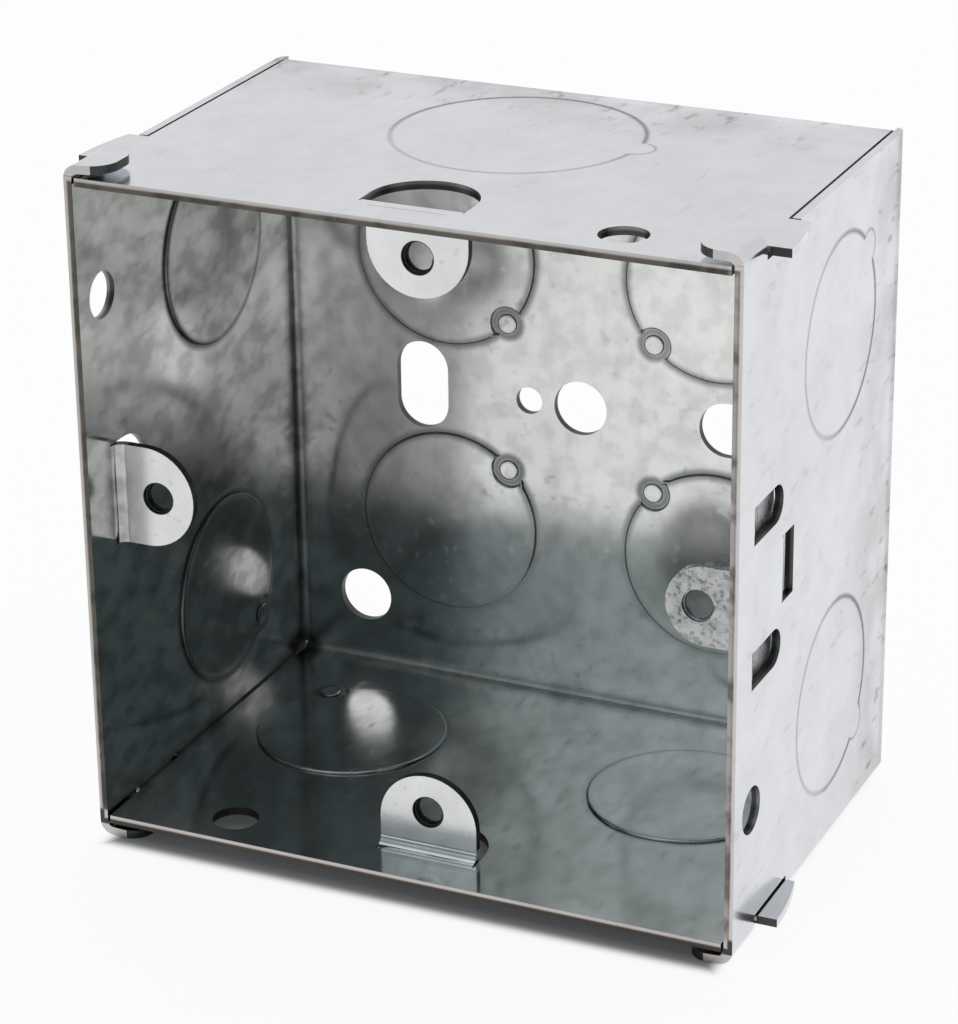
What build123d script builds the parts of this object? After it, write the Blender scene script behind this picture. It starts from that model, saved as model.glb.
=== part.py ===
from build123d import *
import os
from math import atan2, degrees, pi, radians, sqrt, tan

# All sizes are in millimetres. X runs to the right, Y from the open front to
# the back, Z up. The origin is the middle of the back's outer face.

# Box
SIZE = 71.5              # outside width and height over the walls
DEPTH = 47.0             # front edge to outer face of the back
SHEET = 0.9              # sheet thickness
BACK_BEND = 0.7          # inside radius of the four back bends
SEAM = 0.3               # gap between a side wall and the top or bottom wall

# Fixed lugs, cut from the top, bottom and left walls and bent inward
LUG_INSET = 5.6          # wall's outer face to hole centre; opposite holes are 60.3 apart
LUG_SETBACK = 5.8        # front edge to front face of a lug
LUG_WIDTH = 10.9
LUG_BEND = 1.2           # inside radius
LUG_HOLE = 3.4           # hole for a small screw, thread left out
LUG_END = 4.1            # hole centre to tip
LUG_DRAW = 2.0           # length gained where a lug is drawn and bent
COLLAR_WALL = 0.7        # collar drawn out behind the hole, at its root
COLLAR_LENGTH = 0.6      # where the collar thins to the hole's edge
CUT_GAP = 0.15           # gap left by a cut beside a bent tongue
TONGUE_ROOT = 1.0        # flat length kept ahead of a tongue's bend

# Corner tabs, folded from the side walls over the top and bottom walls
TAB_DEPTH = 6.2          # along Y, from the front edge
TAB_LENGTH = 5.0         # along X, from the side wall's outer face
TAB_BEND = 0.6           # inside radius
TAB_LIFT = 0.4           # gap under the tab at its bend
TAB_SLOPE = 2.5          # degrees the tab stays open
TAB_CORNER = 2.4         # rounded free corners
TAB_ROOT = 3.0           # wall height taken by the tab

# Ears of the top and bottom walls, through notches in the side walls
EAR_START = 6.8          # behind the front edge
EAR_END = 15.0
EAR_REACH = 2.2          # beyond the side wall at the front end
EAR_BACK_REACH = 1.1     # and at the back end
EAR_BOW = 0.25           # crown of the outer edge between its ends

# Knockouts: discs sheared free all round but for one tie
SMALL_KNOCKOUT = 20.6
LARGE_KNOCKOUT = 26.0
SHEAR_GAP = 0.15
TIE = 3.8                # length of rim left at the tie
SIDE_TIE_ANGLE = 40      # degrees from straight back towards the outer corner
SIDE_KNOCKOUT_V = 28.0   # behind the front edge
SIDE_KNOCKOUT_U = 19.8   # from the middle of the wall
TOP_KNOCKOUT_V = 30.0
BACK_KNOCKOUT = 15.9     # from the middle of the back, both ways

# Plain holes
SIDE_HOLE = 5.0
SIDE_HOLE_U = 22.0       # from the middle of the wall
SIDE_HOLE_V = 4.7        # behind the front edge
SLOT_WIDTH = 6.2         # fixing slots in the back
SLOT_LENGTH = 10.2
SLOT_X = 19.0
CENTRE_HOLE = 6.2
PILOT_HOLE = 3.1
PILOT_X = -6.1
CORNER_HOLE = 6.3
CORNER_HOLE_X = -26.7
CORNER_HOLE_Z = -26.9

# Adjustable lug, a loose T-shaped piece on the right wall
SLIDE_GAP = 0.1          # clearance on each face of the sliding plate
PLATE = 1.2              # thickness of the loose lug
PLATE_LENGTH = 21.0      # crossbar, along the wall
PLATE_FRONT = 7.0        # crossbar edges, behind the front edge
PLATE_BACK = 12.1
LOOSE_SETBACK = 4.0      # front edge to front face of the loose lug
LOOSE_WIDTH = 8.4
LOOSE_BEND = 0.8
LOOSE_END = 3.4
GUIDE_RISE = 0.8         # middle of the guides, above the middle of the wall
GUIDE_U = 7.65           # each guide tongue, from the middle of the guides
GUIDE_WIDTH = 3.7
GUIDE_START = 4.15       # behind the front edge
GUIDE_LENGTH = 7.85
GUIDE_BEND = 0.7
STOP_WIDTH = 6.9         # tongue behind the crossbar
STOP_SETBACK = 12.6      # front edge to front face of the stop
STOP_LENGTH = 2.1        # inward from the wall's inner face
STOP_BEND = 0.4
STOP_CLEARANCE = 0.15    # left between lug and lower guide at rest

HALF = SIZE / 2
CORNER = BACK_BEND + SHEET
TRAVEL_HALF = GUIDE_U - GUIDE_WIDTH / 2 - LOOSE_WIDTH / 2 - STOP_CLEARANCE

# Local frame of each wall: u along the wall, v back from the front edge and
# w outward, with the outer face at w = 0.
TOP, RIGHT, BOTTOM, LEFT = [Rot(0, 90 * k, 0) * Pos(0, -DEPTH, HALF) for k in range(4)]
SLIDE = RIGHT * Pos(-GUIDE_RISE, 0)     # the right wall's frame, at the guides
BACK = Rot(-90, 0, 0)    # here v runs down and w back


def ribbon(points, inside_radius, width, thickness=SHEET):
    """Bent strip: its middle line is drawn in v and w, its width lies along u."""
    path = FilletPolyline(*points, radius=inside_radius + thickness / 2)
    return extrude(Plane.YZ * trace(path, thickness), amount=width / 2, both=True)


def round_tongue(width, start, end):
    """Flat strip along +Y from start, with a half circle at its far end."""
    straight = end - start - width / 2
    strip = Pos(0, start + straight / 2) * Rectangle(width, straight)
    return strip + Pos(0, start + straight) * Circle(width / 2)


def through(sketch):
    """Cutter that passes through the sheet at w = 0."""
    return extrude(Pos(0, 0, -3 * SHEET) * sketch, amount=5 * SHEET)


def knockout(diameter, tie_angle):
    """Cutter for the ring sheared round one knockout, broken at its tie."""
    tie = Rot(0, 0, tie_angle) * Pos(diameter / 2, 0) * Rectangle(TIE, TIE)
    return through(Circle(diameter / 2 + SHEAR_GAP) - Circle(diameter / 2) - tie)


def fixed_lug():
    """Opening and bent tongue of one fixed lug in a wall's local frame."""
    middle = LUG_SETBACK + SHEET / 2
    bend_start = LUG_SETBACK - LUG_BEND
    tip_w = -LUG_INSET - LUG_END
    straight = -tip_w - SHEET - LUG_BEND
    blank = bend_start + pi / 2 * (LUG_BEND + SHEET / 2) + straight - LUG_DRAW
    opening = through(round_tongue(LUG_WIDTH + 2 * CUT_GAP, bend_start, blank + CUT_GAP))

    path = [(bend_start - TONGUE_ROOT, -SHEET / 2), (middle, -SHEET / 2), (middle, tip_w)]
    outline = mirror(round_tongue(LUG_WIDTH, -SHEET, -tip_w), about=Plane.XZ)
    tongue = ribbon(path, LUG_BEND, LUG_WIDTH)
    tongue &= extrude(Plane.XZ * outline, amount=-2 * LUG_SETBACK)
    rear = Plane((0, LUG_SETBACK + SHEET, -LUG_INSET), z_dir=(0, 1, 0))
    root = LUG_HOLE / 2 + COLLAR_WALL
    full_cone = COLLAR_LENGTH * root / COLLAR_WALL
    tongue += rear * Cone(root, 0, full_cone, align=(Align.CENTER, Align.CENTER, Align.MIN))
    tongue -= extrude(rear * Circle(LUG_HOLE / 2), amount=2 * LUG_SETBACK, both=True)
    return opening, tongue


def side_walls():
    """Back panel with the left and right walls, one U-shaped strip."""
    line = HALF - SHEET / 2
    corners = [(-line, -DEPTH), (-line, -SHEET / 2), (line, -SHEET / 2), (line, -DEPTH)]
    path = FilletPolyline(*corners, radius=BACK_BEND + SHEET / 2)
    walls = extrude(trace(path, SHEET), amount=HALF, both=True)
    for end in (-1, 1):
        walls -= Pos(0, 0, end * HALF) * Box(2 * (HALF - SHEET), 2 * CORNER, 2 * CORNER)
        front = Pos(0, -DEPTH, end * HALF)
        walls -= front * Box(2 * SIZE, 2 * TAB_DEPTH, 2 * TAB_ROOT)
        walls -= front * Box(2 * SIZE, 2 * (EAR_END + SEAM), 2 * (SHEET + SEAM))
    return walls


def end_wall():
    """Top wall with its back bend, between the side walls, lapped into the back."""
    line = DEPTH - SHEET / 2
    path = [(0, -SHEET / 2), (line, -SHEET / 2), (line, -CORNER - SHEET)]
    return ribbon(path, BACK_BEND, SIZE - 2 * SHEET - 2 * SEAM)


def corner_tab():
    """Tab at the top of the right wall, in that wall's place."""
    line = HALF - SHEET / 2
    height = HALF + TAB_LIFT + SHEET / 2
    rise = TAB_LENGTH * tan(radians(TAB_SLOPE))
    points = [(line, HALF - TAB_ROOT), (line, height), (HALF - TAB_LENGTH, height + rise)]
    path = FilletPolyline(*points, radius=TAB_BEND + SHEET / 2)
    tab = extrude(Plane.XZ * trace(path, SHEET), amount=-TAB_DEPTH)
    outline = Pos(HALF - TAB_LENGTH / 2, TAB_DEPTH / 2) * Rectangle(TAB_LENGTH, TAB_DEPTH)
    outline = fillet(outline.vertices().group_by(Axis.X)[0], TAB_CORNER)
    tab &= extrude(outline, amount=SIZE)
    return Pos(0, -DEPTH, 0) * tab


def ear():
    """Ear of the top wall that passes over the notch in the right wall."""
    root = HALF - 2 * SHEET - SEAM
    front, back = EAR_START - DEPTH, EAR_END - DEPTH
    outer_front = (HALF + EAR_REACH, front)
    outer_back = (HALF + EAR_BACK_REACH, back)
    crown = (HALF + (EAR_REACH + EAR_BACK_REACH) / 2 + EAR_BOW, (front + back) / 2)
    edge = ThreePointArc(outer_front, crown, outer_back)
    sides = Polyline(outer_back, (root, back), (root, front), outer_front)
    return extrude(Pos(0, 0, HALF) * make_face(edge + sides), amount=-SHEET)


def guide_tongue():
    """Opening and stepped tongue that holds the loose lug on the right wall."""
    drop = SHEET + PLATE + 2 * SLIDE_GAP
    line = -SHEET / 2 - drop
    step_end = GUIDE_START + drop
    tip = step_end + GUIDE_LENGTH - drop * sqrt(2)
    opening_end = GUIDE_START + GUIDE_LENGTH + CUT_GAP
    opening = through(round_tongue(GUIDE_WIDTH + 2 * CUT_GAP, GUIDE_START, opening_end))
    path = [(GUIDE_START - TONGUE_ROOT, -SHEET / 2), (GUIDE_START, -SHEET / 2)]
    path += [(step_end, line), (tip, line)]
    return opening, ribbon(path, GUIDE_BEND, GUIDE_WIDTH)


def stop_tongue():
    """Opening and bent tongue behind the loose lug's crossbar."""
    middle = STOP_SETBACK + SHEET / 2
    start = STOP_SETBACK - STOP_BEND
    blank = start + pi / 2 * (STOP_BEND + SHEET / 2) + STOP_LENGTH - STOP_BEND
    length = blank + CUT_GAP - start
    opening = through(Pos(0, start + length / 2) * Rectangle(STOP_WIDTH + 2 * CUT_GAP, length))
    path = [(start - TONGUE_ROOT, -SHEET / 2), (middle, -SHEET / 2), (middle, -SHEET - STOP_LENGTH)]
    return opening, ribbon(path, STOP_BEND, STOP_WIDTH)


def at_four_corners(item):
    """A piece of the upper right corner, with its mirror images at the others."""
    right = [item, mirror(item, about=Plane.XY)]
    return right + [mirror(each, about=Plane.YZ) for each in right]


def knockout_cuts():
    """Large ring on top, two small rings on each other wall and four on the back."""
    cuts = [TOP * Pos(0, TOP_KNOCKOUT_V) * knockout(LARGE_KNOCKOUT, 0)]
    for side in (-1, 1):
        ring = knockout(SMALL_KNOCKOUT, 90 - side * SIDE_TIE_ANGLE)
        place = Pos(side * SIDE_KNOCKOUT_U, SIDE_KNOCKOUT_V)
        cuts += [wall * place * ring for wall in (RIGHT, BOTTOM, LEFT)]
        for level in (-1, 1):
            place = BACK * Pos(side * BACK_KNOCKOUT, level * BACK_KNOCKOUT)
            cuts.append(place * knockout(SMALL_KNOCKOUT, degrees(atan2(-level, -side))))
    return cuts


def hole_cuts():
    """Plain holes: one beside each lug, and the slots and holes of the back."""
    side_hole = Pos(SIDE_HOLE_U, SIDE_HOLE_V) * Circle(SIDE_HOLE / 2)
    back_holes = [
        Pos(-SLOT_X, 0) * SlotOverall(SLOT_LENGTH, SLOT_WIDTH, rotation=90),
        Pos(SLOT_X, 0) * SlotOverall(SLOT_LENGTH, SLOT_WIDTH),
        Circle(CENTRE_HOLE / 2),
        Pos(PILOT_X, 0) * Circle(PILOT_HOLE / 2),
        Pos(CORNER_HOLE_X, -CORNER_HOLE_Z) * Circle(CORNER_HOLE / 2),
    ]
    cuts = [wall * through(side_hole) for wall in (TOP, RIGHT, BOTTOM, LEFT)]
    return cuts + [BACK * through(hole) for hole in back_holes]


def box_shell():
    """The folded box: back, four walls, corner tabs, lugs and guides in one sheet."""
    shell = side_walls() + TOP * end_wall() + BOTTOM * end_wall()
    for piece in at_four_corners(corner_tab()) + at_four_corners(ear()):
        shell += piece

    lug, guide, stop = fixed_lug(), guide_tongue(), stop_tongue()
    tongues = [(wall, lug) for wall in (TOP, BOTTOM, LEFT)]
    tongues += [(SLIDE * Pos(u, 0), guide) for u in (-GUIDE_U, GUIDE_U)]
    tongues.append((SLIDE, stop))
    for place, (opening, tongue) in tongues:
        shell = shell - place * opening + place * tongue

    for cut in knockout_cuts() + hole_cuts():
        shell -= cut
    return shell


def adjustable_lug():
    """The loose lug: a plate under the guides with a screw lug bent from it."""
    face = -SHEET - SLIDE_GAP
    line = face - PLATE / 2
    middle = LOOSE_SETBACK + PLATE / 2
    tip_w = -LUG_INSET - LOOSE_END
    lug = ribbon([(PLATE_BACK, line), (middle, line), (middle, tip_w)], LOOSE_BEND, LOOSE_WIDTH, PLATE)
    outline = mirror(round_tongue(LOOSE_WIDTH, 0, -tip_w), about=Plane.XZ)
    lug &= extrude(Plane.XZ * outline, amount=-2 * PLATE_BACK)
    bar = Pos(0, (PLATE_FRONT + PLATE_BACK) / 2) * Rectangle(PLATE_LENGTH, PLATE_BACK - PLATE_FRONT)
    lug += extrude(Pos(0, 0, face) * bar, amount=-PLATE)
    screw = Plane((0, LOOSE_SETBACK, -LUG_INSET), z_dir=(0, 1, 0))
    lug -= extrude(screw * Circle(LUG_HOLE / 2), amount=3 * PLATE, both=True)
    return SLIDE * Pos(TRAVEL_HALF, 0, 0) * lug


os.makedirs("parts", exist_ok=True)
export_step(box_shell(), "parts/box_shell.step")
export_step(adjustable_lug(), "parts/adjustable_lug.step")
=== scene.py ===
"""Finishes, fine relief and studio of the switch box."""
import math

import bpy
from mathutils import Matrix, Vector


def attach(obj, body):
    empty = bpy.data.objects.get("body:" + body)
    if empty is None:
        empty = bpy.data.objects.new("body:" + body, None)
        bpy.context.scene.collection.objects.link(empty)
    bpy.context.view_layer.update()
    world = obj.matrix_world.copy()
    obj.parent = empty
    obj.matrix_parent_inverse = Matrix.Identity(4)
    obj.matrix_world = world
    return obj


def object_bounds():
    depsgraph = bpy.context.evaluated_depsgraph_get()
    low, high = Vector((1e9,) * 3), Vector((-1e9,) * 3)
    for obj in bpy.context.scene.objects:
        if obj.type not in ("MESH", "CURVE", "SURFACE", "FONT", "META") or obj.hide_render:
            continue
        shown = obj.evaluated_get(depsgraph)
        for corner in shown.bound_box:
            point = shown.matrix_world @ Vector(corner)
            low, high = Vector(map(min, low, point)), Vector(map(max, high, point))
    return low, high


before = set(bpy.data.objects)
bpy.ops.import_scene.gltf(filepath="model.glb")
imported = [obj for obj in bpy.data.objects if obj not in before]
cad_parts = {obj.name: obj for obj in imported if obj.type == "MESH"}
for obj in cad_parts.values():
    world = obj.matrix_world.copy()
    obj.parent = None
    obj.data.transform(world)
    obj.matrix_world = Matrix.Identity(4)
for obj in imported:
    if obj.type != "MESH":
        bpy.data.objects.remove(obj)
cad_low, cad_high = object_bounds()

MM = 0.001
WHITE = (1, 1, 1, 1)

# View of the photograph: the camera looks at AIM from the right and above
AIM = Vector((-1.08, -25.34, -2.88)) * MM
VIEW_AZIMUTH = 24.73
VIEW_ELEVATION = 22.99
VIEW_ROLL = -0.72
VIEW_DISTANCE = 379.9 * MM
LENS = 128.5
CLIP_START = 0.01
CLIP_END = 100

# Studio, in metres and watts
FLOOR_SIZE = 6.0
FLOOR_COLOUR = (0.98, 0.98, 0.98, 1)
# floor colour under the box: painted shade
SHADE_COLOUR = (0.25, 0.25, 0.25, 1)
FLOOR_WHITE = 0.92           # share of plain white in what the camera and the metal see of the floor
FLOOR_SHADE = 0.04           # the same under the box
SHADE_REACH = 3 * MM         # the shade fades out over this length
ROOM_LEVEL = 0.86
DARK_LEVEL = 0.25            # the dark side of the room, behind the camera
DARK_COLOUR = (0.79, 1.0, 1.08, 1)
DARK_AHEAD = (0.25, -0.45)   # Y of a direction where the dark side starts and where it is full
DARK_UP = (0.95, 0.65)       # Z of a direction, likewise
KEY_PLACE = (-0.25, 0.35, 0.80)
KEY_SIZE = 1.2
KEY_POWER = 1.3
FILL_PLACE = (-0.10, -0.48, 0.26)
FILL_SIZE = 0.30
FILL_POWER = 0.066

# Box, in millimetres, in the frame of its walls
WALL = 35.75                 # middle of the box to a wall's outer face
SHEET = 0.9
FRONT = cad_low.y / MM
INNER = WALL - SHEET
SIDE_KNOCKOUT = Vector((19.8, 28.0))     # from the middle of the wall, behind the front edge
TOP_KNOCKOUT = Vector((0.0, 30.0))
BACK_KNOCKOUT = 15.9         # from the middle of the back, both ways
SMALL_RADIUS = 10.3
LARGE_RADIUS = 13.0
SIDE_TIE_ANGLE = 40          # degrees from straight back towards the outer corner
SHEAR_GAP = 0.15
LUG_BACK = -39.6             # rear end of the lugs' screw holes
LUG_ROOT = 1.2               # a lug's bend reaches this far in from its wall
LUG_SPACE = 30.15            # middle of the box to a lug hole
LUG_FRONT = -41.2
LOOSE_FRONT = -43.0
LOOSE_HEIGHT = -0.65
BORE = 1.78                  # a lug hole with its thread lies within this radius
LUG_OPENING = 5.6            # radius of the opening that each fixed lug leaves in its wall
OPENING_MIDDLE = 7.34        # behind the front edge
TONGUE_START = 3.6           # behind the front edge; up to there a lug's strip is plain wall

# Relief of the knockouts, in millimetres
DISC_LAP = 0.12              # disc's inner face laps over the shear line
GROOVE = 0.01                # depth of the shear line outside
DISC_RISE = 0.28             # how far a disc stands in from the wall at its tie
DISC_TILT = 0.12             # degrees, further in on the side away from the tie
TILT_START = 0.2             # share of the rise past which points tilt
DISC_EDGE = 0.20
DISC_SIDES = 96
NIB_RADIUS = 1.15
NIB_RISE = 0.22
NIB_EDGE = 0.16
NIB_SIDES = 40
NIB_MOAT = 1.9               # radius of the round recess about a nib
MOAT_SIDES = 48
ROUND_STEPS = 3
ROUND_MARGIN = 1.5           # inset beside a rounded rim, in widths of the rounding
SMOOTH_ANGLE = math.radians(30)
LEVEL_SLACK = 0.01           # faces are found by their height to this

# Strips of wall ahead of the fixed lugs, in millimetres
ROOT_LAP = 0.05              # into the wall round the opening
ROOT_THIN = 0.02             # thinner than the sheet by this
ROOT_REACH = 0.15            # past the start of the tongue
ROOT_SIDES = 96

# Screw threads in the lug holes, in millimetres
THREAD_PITCH = 0.6
THREAD_RADIUS = 1.72
THREAD_DEPTH = 0.24
THREAD_WIDTH = 0.42
THREAD_STEPS = 32
THREAD_START = 0.25          # behind the lug's front face
FIXED_TURNS = 2
LOOSE_TURNS = 1

# Colours of the sheet and of the loose lug
OUTSIDE_COLOUR = (0.725, 0.74, 0.77, 1)
INSIDE_COLOUR = (0.76, 0.775, 0.76, 1)
FACE_COLOUR = (0.765, 0.77, 0.775, 1)
# dull colour of wear and smudges, also used for painted shade inside the box
DULL_AND_SHADE_COLOUR = (0.20, 0.20, 0.195, 1)
CUT_COLOUR = (0.13, 0.115, 0.10, 1)
# painted shade on cut edges in holes, openings and seams, and within the lug holes
HOLE_SHADE_COLOUR = (0.07, 0.07, 0.07, 1)
# dark of torn dashes, also painted shade low on the bottom edge
CUT_DARK_COLOUR = (0.05, 0.043, 0.037, 1)
# painted highlight on the rims of cut edges, also painted light on the tabs
CUT_HIGHLIGHT_COLOUR = (0.64, 0.61, 0.60, 1)
# dark shear lines and painted shade along the knockouts' steps and recesses and in the inner corners
SHEAR_SHADE_COLOUR = (0.09, 0.09, 0.09, 1)
LUG_COLOUR = (0.47, 0.48, 0.49, 1)
LUG_PIT_COLOUR = (0.10, 0.10, 0.10, 1)

# Noise of the sheet: size and height in millimetres, stretch along X, Y and Z, values from clear to full
MOTTLE_SIZE = 8
MOTTLE_SPAN = (0.3, 0.7)
BLOTCH_SIZE = 2.1
BLOTCH_STRETCH = (1, 1.8, 1.1)
BLOTCH_SPAN = (0.38, 0.68)
SCUFF_SIZE = 1.3
SCUFF_STRETCH = (1, 2.5, 1)
SCUFF_TURN = (0, 0, 55)      # degrees
SCUFF_SPAN = (0.58, 0.74)
WAVE_SIZE = 22
WAVE_HEIGHT = 0.09
RIPPLE_SIZE = 4
RIPPLE_HEIGHT = 0.005

# Regions of the sheet: X, Y, Z or a distance in millimetres where each starts and where it is full
SMUDGE_REACH = (-16, -3)     # Y, towards the bends at the back
BACK_SMUDGE = (-0.6, -0.2, 1, 0.3)       # Y, with the share of smudges before the back's face and on it
RIGHT_OUTSIDE = (34.8, 35.6)             # X
LOW_RIGHT_BACK = (-30, -6)   # Y
LOW_RIGHT_DOWN = (10, -28)   # Z
LEFT_WALL = (-33, -34.5)     # X
LEFT_HALF = (20, -20)        # X
LEFT_LOW = (14, -4)          # Z
FOLD_REACH = (1.5, 0.3)      # from the inner bends at the back
CORNER_REACH = (3.5, 1.5)    # from the inner corners at the back
DISC_FADE = 1.0              # in from a disc's rim
FACE_START = 0.4             # a lug's face starts this far in from its wall's inner side

# Shares of the dull colour: wear and smudges, and painted shade inside on the left, in the inner bends and
# in the inner corners
MOTTLE_DULL = 0.09
BLOTCH_DULL = 0.05
SCUFF_DULL = 0.15
SMUDGE_MOTTLE = 0.3
SMUDGE_SCUFF = 0.4
LOW_RIGHT_DULL = 0.1
INSIDE_BLOTCH = 0.12
# Painted shade inside on the left: the left half darker, the left wall darker still, most towards the
# bottom and on its discs
LEFT_HALF_SHADE = 0.18
LEFT_WALL_SHADE = 0.14
LEFT_WALL_SHADE_BLOTCH = 0.12
LEFT_LOW_SHADE = 0.25
LEFT_DISC_SHADE = 0.22
# Painted shade in the inner bends of the side walls at the back and in the inner corners
SIDE_FOLD_SHADE = 0.225
CORNER_SHADE = 0.75

# Dark lines of the knockouts, shear lines widened with painted shade of their steps and recesses: half
# widths in millimetres and shares of the shear colour
RING_WIDTH = 1.0
RING_FADE = (-24, -8, 0.2, 0.65)         # Z, with the share below and above: fainter near the bottom
LEFT_RING = 0.8
OUTER_RING_WIDTH = 0.5
OUTER_RING_FADE = (-26, -12, 0.3, 0.75)  # Y, with the share before and behind: fainter near the front
MOAT_WIDTH = 0.85
MOAT_DARK = 0.65
LOBE_WIDTH = 0.3             # round a tie on the outside
LOBE_DARK = 0.5
# painted shade in the inner corners at the back
CORNER_SHADE_DARK = 0.8

# Cut edges: where they lie, to find them and to grade them, in millimetres
EDGE_SLACK = 0.05
BEND = 1.0                   # holes in the back and ends of tabs lie further in from the walls
LOW_EDGE = (-34, -34.5)      # Z
RIGHT_EDGE = (34, 34.5)      # X
OUTER_RIM = (0.5, 0.2)       # depth below the wall's outer face, as are the next four
INNER_RIM = (0.4, 0.65)
TAB_DEPTH = (-0.1, -0.2)
DASH_DEPTH = (0.2, 0.45)
# painted shade on the lower half of the bottom edge
LOW_SHADE_DEPTH = (0.55, 0.3)
SQUARE_ON = 0.5              # a face faces along an axis if more of its normal than this does
SIDE_ON = 0.3                # and lies side on to it if less than this does

# Shares of the pale colour of cut edges, a painted highlight on their rims, painted light on the tabs and
# paler edges on the right, and of their dark colour, torn dashes and painted shade low on the bottom edge
HOLE_RIM_PALE = 0.35
FRONT_RIM_PALE = 0.8
LOW_RIM_PALE = 0.9
RIGHT_RIM_PALE = 0.3
RIGHT_PALE = 0.25
TAB_PALE = 0.9
DASH_DARK = 0.7
LOW_EDGE_SHADE = 0.65

# Roughness of the sheet, and what each mark adds to it
SHEET_ROUGH = 0.13
MOTTLE_ROUGH = 0.06
SCUFF_ROUGH = 0.08
FOLD_ROUGH = 0.3
SHEAR_ROUGH = 0.3
CUT_ROUGH = 0.25
FACE_ROUGH = 0.08

# Pits and stains of the loose lug's steel, in the same terms
PIT_SIZE = 0.45
PIT_SPAN = (0.48, 0.7)
PIT_DULL = 0.45
PIT_ROUGH = 0.2
PIT_DEPTH = 0.006
STAIN_SIZE = 1.6
STAIN_SPAN = (0.35, 0.7)
STAIN_DULL = 0.25
STAIN_ROUGH = 0.15
STEEL_ROUGH = 0.25


def feed(tree, value, socket):
    """Link a field or a socket to an input socket, or set the input to a plain value."""
    if isinstance(value, Field):
        value = value.socket
    if isinstance(value, bpy.types.NodeSocket):
        tree.links.new(value, socket)
    else:
        socket.default_value = value


class Field:
    """A number that varies over a surface, worked out by shader nodes.

    Of two masks, & gives where both are 1 and | where either is, and 1 - mask is its opposite.
    """

    def __init__(self, tree, socket):
        self.tree = tree
        self.socket = socket

    def work(self, operation, *others):
        """Math node with this field as its first value."""
        node = self.tree.nodes.new("ShaderNodeMath")
        node.operation = operation
        for place, value in enumerate((self, *others)):
            feed(self.tree, value, node.inputs[place])
        return Field(self.tree, node.outputs[0])

    def __add__(self, other):
        return self.work("ADD", other)

    def __sub__(self, other):
        return self.work("SUBTRACT", other)

    def __rsub__(self, other):
        return self * -1 + other

    def __mul__(self, other):
        return self.work("MULTIPLY", other)

    def __abs__(self):
        return self.work("ABSOLUTE")

    def __gt__(self, other):
        return self.work("GREATER_THAN", other)

    def __lt__(self, other):
        return self.work("LESS_THAN", other)

    def __and__(self, other):
        return self.work("MINIMUM", other)

    def __or__(self, other):
        return self.work("MAXIMUM", other)

    def fade(self, start, end, low=0.0, high=1.0):
        """Smooth step from low at start to high at end."""
        node = self.tree.nodes.new("ShaderNodeMapRange")
        node.interpolation_type = "SMOOTHSTEP"
        values = {"Value": self, "From Min": start, "From Max": end, "To Min": low, "To Max": high}
        for name, value in values.items():
            feed(self.tree, value, node.inputs[name])
        return Field(self.tree, node.outputs["Result"])

    def line(self, middle, half_width):
        """1 at the middle value, fading to 0 at half_width from it."""
        return abs(self - middle).fade(half_width, 0)

    def choose(self, without, chosen):
        """One field where this mask is 0 and another where it is 1."""
        node = self.tree.nodes.new("ShaderNodeMix")
        for name, value in (("Factor", self), ("A", without), ("B", chosen)):
            feed(self.tree, value, node.inputs[name])
        return Field(self.tree, node.outputs["Result"])

    def tint(self, first, second):
        """Colour from first at 0 to second at 1; each is a colour or a socket."""
        node = self.tree.nodes.new("ShaderNodeMix")
        node.data_type = "RGBA"
        feed(self.tree, self, node.inputs["Factor"])
        sockets = [each for each in node.inputs if each.type == "RGBA"]
        for colour, socket in zip((first, second), sockets):
            feed(self.tree, colour, socket)
        return [each for each in node.outputs if each.type == "RGBA"][0]


def vector_parts(tree, socket):
    """X, Y and Z of a vector as fields."""
    node = tree.nodes.new("ShaderNodeSeparateXYZ")
    tree.links.new(socket, node.inputs[0])
    return [Field(tree, each) for each in node.outputs]


def distances(across, along, *places):
    """Distance of the point (across, along) from each place."""
    tree = across.tree
    point = tree.nodes.new("ShaderNodeCombineXYZ")
    tree.links.new(across.socket, point.inputs[0])
    tree.links.new(along.socket, point.inputs[1])
    fields = []
    for place in places:
        node = tree.nodes.new("ShaderNodeVectorMath")
        node.operation = "DISTANCE"
        tree.links.new(point.outputs[0], node.inputs[0])
        node.inputs[1].default_value = (*place, 0)
        fields.append(Field(tree, node.outputs["Value"]))
    return fields


def mix_shaders(tree, share, first, second, output):
    """Send two shaders to an output node, mixed by the second one's share."""
    mix = tree.nodes.new("ShaderNodeMixShader")
    for place, socket in enumerate((share, first.outputs[0], second.outputs[0])):
        tree.links.new(socket, mix.inputs[place])
    tree.links.new(mix.outputs[0], output.inputs["Surface"])


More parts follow.
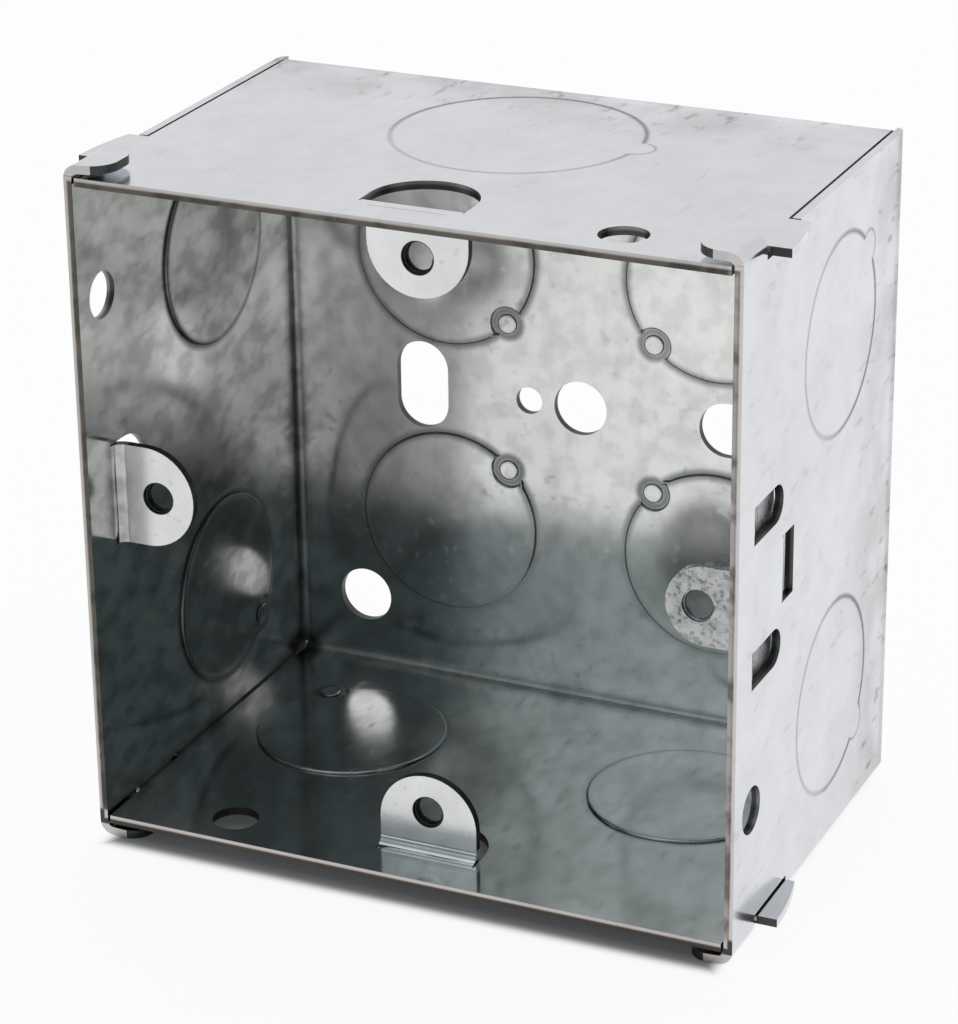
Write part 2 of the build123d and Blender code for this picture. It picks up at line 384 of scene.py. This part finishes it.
class Surface:
    """Shader tree of a metal, with its place in millimetres as fields."""

    def __init__(self, name):
        self.material = bpy.data.materials.new(name)
        self.material.use_nodes = True
        self.tree = self.material.node_tree
        self.shader = self.tree.nodes["Principled BSDF"]
        self.shader.inputs["Metallic"].default_value = 1.0
        place = self.tree.nodes.new("ShaderNodeTexCoord")
        scale = self.tree.nodes.new("ShaderNodeVectorMath")
        scale.operation = "SCALE"
        scale.inputs["Scale"].default_value = 1 / MM
        self.tree.links.new(place.outputs["Object"], scale.inputs[0])
        self.place = scale.outputs[0]
        self.x, self.y, self.z = vector_parts(self.tree, self.place)

    def noise(self, size, detail=2.0, stretch=(1, 1, 1), turn=(0, 0, 0)):
        """Noise whose patches are about size millimetres across, turned by degrees."""
        mapping = self.tree.nodes.new("ShaderNodeMapping")
        mapping.inputs["Scale"].default_value = [1 / (size * each) for each in stretch]
        mapping.inputs["Rotation"].default_value = [math.radians(each) for each in turn]
        self.tree.links.new(self.place, mapping.inputs["Vector"])
        node = self.tree.nodes.new("ShaderNodeTexNoise")
        node.inputs["Scale"].default_value = 1.0
        node.inputs["Detail"].default_value = detail
        self.tree.links.new(mapping.outputs[0], node.inputs["Vector"])
        return Field(self.tree, node.outputs[0])

    def finish(self, colour, roughness, height):
        """Material of this colour and roughness, with height in millimetres as bump."""
        feed(self.tree, colour, self.shader.inputs["Base Color"])
        feed(self.tree, roughness, self.shader.inputs["Roughness"])
        bump = self.tree.nodes.new("ShaderNodeBump")
        bump.inputs["Distance"].default_value = MM
        feed(self.tree, height, bump.inputs["Height"])
        feed(self.tree, bump.outputs[0], self.shader.inputs["Normal"])
        return self.material


class GalvanisedSheet(Surface):
    """Zinc-coated sheet of the box, with the fields and masks that place its marks and its painted shade
    and highlights.
    """

    def __init__(self):
        super().__init__("galvanised_sheet")
        # How far each face points along X, Y and Z
        geometry = self.tree.nodes.new("ShaderNodeNewGeometry")
        normal = vector_parts(self.tree, geometry.outputs["True Normal"])
        self.facing_x, self.facing_y, self.facing_z = [abs(each) for each in normal]

        # Regions of the box
        self.wide, self.high = abs(self.x), abs(self.z)
        self.outermost = self.wide | self.high
        lug = (self.y < LUG_BACK) & (self.outermost < INNER - LUG_ROOT)
        self.inside = (self.outermost < WALL - SHEET / 2) & (self.y < -SHEET / 2) & (1 - lug)
        self.front = self.y < FRONT + EDGE_SLACK
        self.left_wall = self.x.fade(*LEFT_WALL)
        self.fold = (INNER - SHEET - (self.outermost + self.y)).fade(*FOLD_REACH)
        self.corner = (2 * INNER - SHEET - (self.wide + self.high + self.y)).fade(*CORNER_REACH)

        # Marks and edges
        self.mottle = self.noise(MOTTLE_SIZE).fade(*MOTTLE_SPAN)
        self.blotches = self.noise(BLOTCH_SIZE, stretch=BLOTCH_STRETCH).fade(*BLOTCH_SPAN)
        self.scuffs = self.noise(SCUFF_SIZE, stretch=SCUFF_STRETCH, turn=SCUFF_TURN).fade(*SCUFF_SPAN)
        self.to_disc, self.to_nib = self.knockouts()
        self.cut = self.cut_edges()

    def knockouts(self):
        """Distance to the middle of the nearest knockout and of its nib, on each wall."""
        y, wide, high = self.y, self.wide, self.high
        on_top = self.z > INNER - SHEET
        on_back = y > -2 * SHEET
        on_side = wide > INNER - SHEET

        # Side walls and bottom
        middle = Vector((SIDE_KNOCKOUT.x, FRONT + SIDE_KNOCKOUT.y))
        angle = math.radians(90 - SIDE_TIE_ANGLE)
        nib = middle + SMALL_RADIUS * Vector((math.cos(angle), math.sin(angle)))
        to_disc, to_nib = distances(on_side.choose(wide, high), y, middle, nib)

        # Top, with the distance from its large rim as from a small one
        middle = Vector((0, FRONT + TOP_KNOCKOUT.y))
        nib = middle + Vector((LARGE_RADIUS, 0))
        to_top_disc, to_top_nib = distances(self.x, y, middle, nib)
        to_disc = on_top.choose(to_disc, to_top_disc - (LARGE_RADIUS - SMALL_RADIUS))
        to_nib = on_top.choose(to_nib, to_top_nib)

        # Back, with each nib towards the middle
        middle = Vector((BACK_KNOCKOUT, BACK_KNOCKOUT))
        nib = middle * (1 - SMALL_RADIUS / middle.length)
        to_back_disc, to_back_nib = distances(wide, high, middle, nib)
        return on_back.choose(to_disc, to_back_disc), on_back.choose(to_nib, to_back_nib)

    def cut_edges(self):
        """1 on the sheared edges of the sheet, where the face crosses its thickness, and within the lug
        holes with their threads.
        """
        y, wide, high = self.y, self.wide, self.high
        near, far = INNER - EDGE_SLACK, WALL + EDGE_SLACK
        side_wall = (wide > near) & (wide < far) & (high < near) & (self.facing_x < SQUARE_ON)
        end_wall = (high > near) & (high < far) & (wide < near) & (self.facing_z < SQUARE_ON)
        ear = (wide > far) & (self.facing_y > SQUARE_ON)
        back = (y > -SHEET - EDGE_SLACK) & (self.outermost < near - BEND) & (self.facing_y < SQUARE_ON)
        tab_end = (self.facing_z < SIDE_ON) & (wide < near - BEND)
        tab = (high > far) & ((self.facing_y > SQUARE_ON) | tab_end)
        lug = (y < LUG_BACK) & (self.outermost < near - LUG_ROOT) & (self.facing_y < SIDE_ON)
        to_upright, to_level = distances(wide, high, (0, LUG_SPACE), (LUG_SPACE, 0))
        bore = ((to_upright & to_level) < BORE) & (y < LUG_BACK)
        return self.front | side_wall | end_wall | ear | back | tab | lug | bore

    def wear_and_shade(self):
        """Share of dull colour: mottle and scuffs, smudges near the back, and painted shade inside on the
        left, in the inner bends and in the inner corners.
        """
        x, y, z = self.x, self.y, self.z
        smudge = y.fade(*SMUDGE_REACH) * y.fade(*BACK_SMUDGE) * (1 - self.inside)
        smudge = smudge * (self.mottle * SMUDGE_MOTTLE + self.scuffs * SMUDGE_SCUFF)
        low_right = x.fade(*RIGHT_OUTSIDE) * y.fade(*LOW_RIGHT_BACK) * z.fade(*LOW_RIGHT_DOWN)
        overall = self.mottle * MOTTLE_DULL + self.blotches * BLOTCH_DULL + low_right * LOW_RIGHT_DULL
        overall = overall + self.scuffs * self.mottle * SCUFF_DULL + smudge

        # Painted shade inside on the left: the left wall darker, most towards the bottom and on its discs,
        # and the left half darker
        on_disc = self.to_disc.fade(SMALL_RADIUS, SMALL_RADIUS - DISC_FADE)
        left_wall = self.blotches * LEFT_WALL_SHADE_BLOTCH + z.fade(*LEFT_LOW) * LEFT_LOW_SHADE + LEFT_WALL_SHADE
        left_wall = self.left_wall * (left_wall + on_disc * LEFT_DISC_SHADE)
        # Painted shade in the inner bends at the back and in the inner corners
        fold_and_corner_shade = self.fold * (self.wide > self.high) * SIDE_FOLD_SHADE | self.corner * CORNER_SHADE
        within = self.blotches * INSIDE_BLOTCH + x.fade(*LEFT_HALF) * LEFT_HALF_SHADE + left_wall + fold_and_corner_shade
        return overall + self.inside * within

    def shear_lines_and_shade(self):
        """Share of shear colour: dark shear lines round the discs and nibs, widened with painted shade of
        their steps and recesses, and painted shade in the inner corners.
        """
        ring_share = self.z.fade(*RING_FADE) | self.left_wall * LEFT_RING
        ring = self.to_disc.line(SMALL_RADIUS + SHEAR_GAP + DISC_LAP, RING_WIDTH) * ring_share
        moat = self.to_nib.line((NIB_RADIUS + NIB_MOAT) / 2, MOAT_WIDTH) * MOAT_DARK
        outer_ring = self.to_disc.line(SMALL_RADIUS + SHEAR_GAP / 2, OUTER_RING_WIDTH)
        outer_ring = outer_ring * self.y.fade(*OUTER_RING_FADE)
        lobe = self.to_nib.line(NIB_MOAT, LOBE_WIDTH) * (self.to_disc > SMALL_RADIUS) * LOBE_DARK
        off_nib = self.to_nib > NIB_MOAT
        lines = self.inside.choose(outer_ring * off_nib | lobe, ring * off_nib | moat)
        return (lines | self.corner * self.inside * CORNER_SHADE_DARK) * (1 - self.cut)

    def edge_colour(self):
        """Cut edges: a painted highlight along the rim, dark torn dashes, painted shade low on the bottom
        edge, paler edges on the right, and painted light on the tabs.
        """
        low = self.z.fade(*LOW_EDGE)
        right = self.x.fade(*RIGHT_EDGE) * (1 - low)
        depth = WALL - self.outermost
        tab = depth.fade(*TAB_DEPTH)
        outer_rim = depth.fade(*OUTER_RIM) * (depth > TAB_DEPTH[0]) * (1 - low)
        inner_rim = depth.fade(*INNER_RIM) * (low * LOW_RIM_PALE + right * RIGHT_RIM_PALE)
        front_highlight = self.front * (inner_rim + right * RIGHT_PALE + tab * TAB_PALE)
        # Painted highlight along the rims of cut edges, and painted light on the tabs
        rim_highlight = (outer_rim * self.front.fade(0, 1, HOLE_RIM_PALE, FRONT_RIM_PALE) + front_highlight) & 1.0
        dashes_and_shade = self.blotches * depth.fade(*DASH_DEPTH) * (1 - low) * DASH_DARK
        # Painted shade on the lower half of the bottom edge
        dashes_and_shade = dashes_and_shade | low * depth.fade(*LOW_SHADE_DEPTH) * LOW_EDGE_SHADE
        dashes_and_shade = dashes_and_shade * self.front * (1 - tab)
        # Painted shade on the cut edges away from the front and within the lug holes; the front edges keep
        # the colour of cut metal
        bare_and_hole_shade = self.front.tint(HOLE_SHADE_COLOUR, CUT_COLOUR)
        return dashes_and_shade.tint(rim_highlight.tint(bare_and_hole_shade, CUT_HIGHLIGHT_COLOUR), CUT_DARK_COLOUR)

    def make(self):
        """Material with the sheet's colours, painted shade and highlights, roughness and slow waves."""
        face = (self.y < LUG_BACK) * self.outermost.fade(INNER - FACE_START, INNER - 2 * LUG_ROOT)
        shear_and_shade = self.shear_lines_and_shade()
        clean = face.tint(self.inside.tint(OUTSIDE_COLOUR, INSIDE_COLOUR), FACE_COLOUR)
        # wear and smudges, with painted shade inside the box
        worn_and_shaded = self.wear_and_shade().tint(clean, DULL_AND_SHADE_COLOUR)
        marked = shear_and_shade.tint(worn_and_shaded, SHEAR_SHADE_COLOUR)
        colour = self.cut.tint(marked, self.edge_colour())
        roughness = self.mottle * MOTTLE_ROUGH + self.scuffs * SCUFF_ROUGH + SHEET_ROUGH
        roughness = roughness + self.fold * FOLD_ROUGH + shear_and_shade * SHEAR_ROUGH
        roughness = roughness + self.cut * CUT_ROUGH + face * FACE_ROUGH
        waves = self.noise(WAVE_SIZE, 0) * WAVE_HEIGHT + self.noise(RIPPLE_SIZE, 0) * RIPPLE_HEIGHT
        return self.finish(colour, roughness, waves)


def lug_steel():
    """Pitted and stained steel of the loose lug."""
    metal = Surface("lug_steel")
    pits = metal.noise(PIT_SIZE).fade(*PIT_SPAN)
    stains = metal.noise(STAIN_SIZE).fade(*STAIN_SPAN)
    dull = pits * PIT_DULL + stains * STAIN_DULL
    colour = dull.tint(LUG_COLOUR, LUG_PIT_COLOUR)
    roughness = stains * STAIN_ROUGH + pits * PIT_ROUGH + STEEL_ROUGH
    return metal.finish(colour, roughness, pits * -PIT_DEPTH)


def aim_camera():
    """Camera at the photograph's viewing angle."""
    camera = bpy.data.cameras.new("camera")
    camera.lens = LENS
    camera.clip_start = CLIP_START
    camera.clip_end = CLIP_END
    holder = bpy.data.objects.new("camera", camera)
    bpy.context.scene.collection.objects.link(holder)
    turn = (
        Matrix.Rotation(math.radians(VIEW_AZIMUTH), 4, "Z")
        @ Matrix.Rotation(math.radians(90 - VIEW_ELEVATION), 4, "X")
        @ Matrix.Rotation(math.radians(VIEW_ROLL), 4, "Z")
    )
    holder.matrix_world = Matrix.Translation(AIM) @ turn @ Matrix.Translation((0, 0, VIEW_DISTANCE))
    bpy.context.scene.camera = holder


def set_world():
    """Pale room that is dark behind the camera; the background itself is plain white."""
    world = bpy.data.worlds.new("studio")
    bpy.context.scene.world = world
    world.use_nodes = True
    tree = world.node_tree
    room = tree.nodes["Background"]
    where = tree.nodes.new("ShaderNodeTexCoord")
    ahead, up = vector_parts(tree, where.outputs["Generated"])[1:]
    dark = ahead.fade(*DARK_AHEAD) * up.fade(*DARK_UP)
    feed(tree, dark.fade(0, 1, ROOM_LEVEL, DARK_LEVEL), room.inputs["Strength"])
    feed(tree, dark.tint(WHITE, DARK_COLOUR), room.inputs["Color"])
    white = tree.nodes.new("ShaderNodeBackground")
    white.inputs["Color"].default_value = WHITE
    path = tree.nodes.new("ShaderNodeLightPath")
    mix_shaders(tree, path.outputs["Is Camera Ray"], room, white, tree.nodes["World Output"])


def soft_light(name, place, size, power):
    """Round lamp that points at the box and isn't seen itself."""
    lamp = bpy.data.lights.new(name, "AREA")
    lamp.shape = "DISK"
    lamp.size = size
    lamp.energy = power
    holder = bpy.data.objects.new(name, lamp)
    bpy.context.scene.collection.objects.link(holder)
    holder.location = place
    holder.rotation_euler = (-Vector(place)).to_track_quat("-Z", "Y").to_euler()
    holder.visible_camera = False


def pale_floor():
    """White floor with its colour painted dark under the box, painted shade added to the shadow it keeps.
    """
    material = bpy.data.materials.new("pale_floor")
    material.use_nodes = True
    tree = material.node_tree
    shader = tree.nodes["Principled BSDF"]
    shader.inputs["Roughness"].default_value = 1.0
    shader.inputs["Specular IOR Level"].default_value = 0.0
    glow = tree.nodes.new("ShaderNodeEmission")
    glow.inputs["Color"].default_value = WHITE
    path = tree.nodes.new("ShaderNodeLightPath")
    camera, gloss, glass = [
        Field(tree, path.outputs[f"Is {kind} Ray"]) for kind in ("Camera", "Glossy", "Transmission")
    ]
    where = tree.nodes.new("ShaderNodeTexCoord")
    across, ahead = vector_parts(tree, where.outputs["Object"])[:2]
    wall = WALL * MM
    before = (cad_low.y - ahead).fade(0, SHADE_REACH)
    behind = ahead.fade(0, SHADE_REACH)
    clear = before | behind | abs(across).fade(wall - SHADE_REACH, wall)
    feed(tree, clear.tint(SHADE_COLOUR, FLOOR_COLOUR), shader.inputs["Base Color"])
    white = (camera | gloss | glass) * clear.fade(0, 1, FLOOR_SHADE, FLOOR_WHITE)
    mix_shaders(tree, white.socket, shader, glow, tree.nodes["Material Output"])
    return material


def lay_floor():
    """Floor under the lowest point of the box."""
    bpy.ops.object.select_all(action="DESELECT")
    bpy.ops.mesh.primitive_plane_add(size=FLOOR_SIZE, location=(0, 0, cad_low.z))
    floor = bpy.context.object
    floor.name = "floor"
    floor.data.materials.append(pale_floor())


def start_piece(name, radius, depth, middle, sides):
    """New round piece about an axis along Z, in millimetres, as the only selected object."""
    bpy.ops.object.select_all(action="DESELECT")
    bpy.ops.mesh.primitive_cylinder_add(vertices=sides, radius=radius * MM, depth=depth * MM)
    piece = bpy.context.object
    piece.name = name
    piece.data.name = name
    piece.data.transform(Matrix.Translation(Vector(middle) * MM))
    return piece


def select_none(kind):
    """Clear the selection of faces or points, and go back to object mode."""
    bpy.ops.object.mode_set(mode="EDIT")
    bpy.ops.mesh.select_mode(type=kind)
    bpy.ops.mesh.select_all(action="DESELECT")
    bpy.ops.object.mode_set(mode="OBJECT")


def select_level(piece, level):
    """Go to edit mode with only the faces at this height selected, in millimetres."""
    select_none("FACE")
    for face in piece.data.polygons:
        face.select = abs(face.center.z - level * MM) < LEVEL_SLACK * MM
    bpy.ops.object.mode_set(mode="EDIT")


def select_below(piece, level):
    """Go to edit mode with only the points below this height selected, in millimetres."""
    select_none("VERT")
    for vertex in piece.data.vertices:
        vertex.select = vertex.co.z < level * MM
    bpy.ops.object.mode_set(mode="EDIT")


def round_edge(piece, level, width):
    """Round the rim of the face at this height; an inset keeps the face itself flat."""
    select_level(piece, level)
    bpy.ops.mesh.inset(thickness=ROUND_MARGIN * width * MM)
    bpy.ops.object.mode_set(mode="OBJECT")
    select_level(piece, level)
    bpy.ops.mesh.region_to_loop()
    bpy.ops.mesh.bevel(offset=width * MM, segments=ROUND_STEPS, affect="EDGES")
    bpy.ops.object.mode_set(mode="OBJECT")


def subtract(piece, cutter):
    """Cut one object out of another, and remove it."""
    bpy.ops.object.select_all(action="DESELECT")
    bpy.context.view_layer.objects.active = piece
    piece.select_set(True)
    cut = piece.modifiers.new("cut", "BOOLEAN")
    cut.operation = "DIFFERENCE"
    cut.object = cutter
    bpy.ops.object.modifier_apply(modifier=cut.name)
    bpy.data.objects.remove(cutter)


def knockout_disc(radius):
    """Inner side of a half-sheared disc that also closes its shear line, with its tie at +X."""
    rim = radius + SHEAR_GAP + DISC_LAP
    inner = -SHEET - DISC_RISE
    piece = start_piece("knockout_disc", rim, -GROOVE - inner, (0, 0, (inner - GROOVE) / 2), DISC_SIDES)
    subtract(piece, start_piece("recess", NIB_MOAT, 4 * SHEET, (radius, 0, -SHEET), MOAT_SIDES))
    round_edge(piece, inner, DISC_EDGE)
    select_below(piece, -SHEET - TILT_START * DISC_RISE)
    bpy.ops.transform.rotate(
        value=math.radians(DISC_TILT), orient_axis="Y", center_override=(radius * MM, 0, -SHEET * MM)
    )
    bpy.ops.object.mode_set(mode="OBJECT")
    bpy.ops.object.shade_smooth_by_angle(angle=SMOOTH_ANGLE)
    return piece


def knockout_nib(radius):
    """Small flat button at the tie, +X of the disc's middle."""
    middle = (radius, 0, -SHEET - NIB_RISE / 2)
    piece = start_piece("knockout_nib", NIB_RADIUS, NIB_RISE, middle, NIB_SIDES)
    round_edge(piece, -SHEET - NIB_RISE, NIB_EDGE)
    bpy.ops.object.shade_smooth_by_angle(angle=SMOOTH_ANGLE)
    return piece


def copy_to_box(source, name, place, material):
    """Copy of a piece with its own mesh, placed on the box and riding with it."""
    piece = bpy.data.objects.new(name, source.data.copy())
    piece.data.name = name
    piece.data.transform(place)
    bpy.context.scene.collection.objects.link(piece)
    piece.data.materials.append(material)
    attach(piece, "box")


def wall_frame(turns):
    """Frame of a wall: X along it, Y back from its front edge, Z outward from its outer face."""
    turn = Matrix.Rotation(math.radians(90 * turns), 4, "Y")
    return turn @ Matrix.Translation(Vector((0, FRONT, WALL)) * MM)


def knockout_places():
    """Name, frame and size of each knockout, with its tie towards +X of the frame."""
    def turned(place, angle):
        return Matrix.Translation(Vector((*place, 0)) * MM) @ Matrix.Rotation(math.radians(angle), 4, "Z")

    places = [("top", wall_frame(0) @ turned(TOP_KNOCKOUT, 0), LARGE_RADIUS)]
    for turns, wall in ((1, "right"), (2, "bottom"), (3, "left")):
        for side in (-1, 1):
            place = turned((side * SIDE_KNOCKOUT.x, SIDE_KNOCKOUT.y), 90 - side * SIDE_TIE_ANGLE)
            places.append((f"{wall}_{side + 2}", wall_frame(turns) @ place, SMALL_RADIUS))
    back = Matrix.Rotation(math.radians(-90), 4, "X")
    for side in (-1, 1):
        for level in (-1, 1):
            angle = math.degrees(math.atan2(-level, -side))
            place = turned((side * BACK_KNOCKOUT, level * BACK_KNOCKOUT), angle)
            places.append((f"back_{side + 2}_{level + 2}", back @ place, SMALL_RADIUS))
    return places


def add_knockouts(material):
    """Disc and nib of every knockout, copied from one of each size."""
    for radius in (SMALL_RADIUS, LARGE_RADIUS):
        disc = knockout_disc(radius)
        nib = knockout_nib(radius)
        for name, place, size in knockout_places():
            if size == radius:
                copy_to_box(disc, f"knockout_disc_{name}", place, material)
                copy_to_box(nib, f"knockout_nib_{name}", place, material)
        bpy.data.objects.remove(disc)
        bpy.data.objects.remove(nib)


def add_lug_roots(material):
    """Wall ahead of each fixed lug, where its opening's round end would leave a gap."""
    middle = (0, OPENING_MIDDLE, -SHEET / 2)
    source = start_piece("lug_root", LUG_OPENING + ROOT_LAP, SHEET - ROOT_THIN, middle, ROOT_SIDES)
    bpy.ops.mesh.primitive_cube_add(size=4 * LUG_OPENING * MM)
    behind = bpy.context.object
    reach = 2 * LUG_OPENING + TONGUE_START + ROOT_REACH
    behind.data.transform(Matrix.Translation((0, reach * MM, 0)))
    subtract(source, behind)
    for turns, wall in ((0, "top"), (2, "bottom"), (3, "left")):
        copy_to_box(source, f"lug_root_{wall}", wall_frame(turns), material)
    bpy.data.objects.remove(source)


def screw_thread(name, place, turns, body, material):
    """Ridge that winds along +Y from this place on a lug hole's axis, in millimetres."""
    bpy.ops.object.select_all(action="DESELECT")
    bpy.ops.mesh.primitive_circle_add(vertices=3, radius=MM, fill_type="NOTHING")
    piece = bpy.context.object
    piece.name = name
    piece.data.name = name
    # The triangle in a unit circle is 1.5 high and the root of 3 wide
    upright = Matrix.Rotation(math.radians(-90), 4, "Y") @ Matrix.Rotation(math.radians(90), 4, "X")
    profile = Matrix.Diagonal((THREAD_DEPTH / 1.5, 1, THREAD_WIDTH / math.sqrt(3), 1)) @ upright
    middle = THREAD_RADIUS - THREAD_DEPTH / 3
    piece.data.transform(Matrix.Translation((middle * MM, 0, 0)) @ profile)
    wind = piece.modifiers.new("thread", "SCREW")
    wind.screw_offset = THREAD_PITCH * MM
    wind.iterations = turns
    wind.steps = THREAD_STEPS
    bpy.ops.object.modifier_apply(modifier=wind.name)
    bpy.ops.object.mode_set(mode="EDIT")
    bpy.ops.mesh.select_all(action="SELECT")
    bpy.ops.mesh.fill_holes(sides=3)
    bpy.ops.mesh.select_all(action="SELECT")
    bpy.ops.mesh.normals_make_consistent(inside=False)
    bpy.ops.object.mode_set(mode="OBJECT")
    turn = Matrix.Rotation(math.radians(-90), 4, "X")
    piece.data.transform(Matrix.Translation(Vector(place) * MM) @ turn)
    piece.data.materials.append(material)
    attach(piece, body)


def add_threads(sheet, steel):
    """Threads of the three fixed lugs and of the loose one."""
    start = LUG_FRONT + THREAD_START
    for name, x, z in (("top", 0, LUG_SPACE), ("bottom", 0, -LUG_SPACE), ("left", -LUG_SPACE, 0)):
        screw_thread(f"thread_{name}", (x, start, z), FIXED_TURNS, "box", sheet)
    place = (LUG_SPACE, LOOSE_FRONT + THREAD_START, LOOSE_HEIGHT)
    screw_thread("thread_right", place, LOOSE_TURNS, "lug", steel)


def dress(node, material):
    """Give a node of the box this finish in place of its own."""
    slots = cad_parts[node].data.materials
    slots.clear()
    slots.append(material)


bpy.context.scene.view_settings.view_transform = "Standard"
aim_camera()
set_world()
lay_floor()
soft_light("key_light", KEY_PLACE, KEY_SIZE, KEY_POWER)
soft_light("fill_light", FILL_PLACE, FILL_SIZE, FILL_POWER)

sheet = GalvanisedSheet().make()
steel = lug_steel()
dress("box_shell", sheet)
dress("adjustable_lug", steel)
add_knockouts(sheet)
add_lug_roots(sheet)
add_threads(sheet, steel)
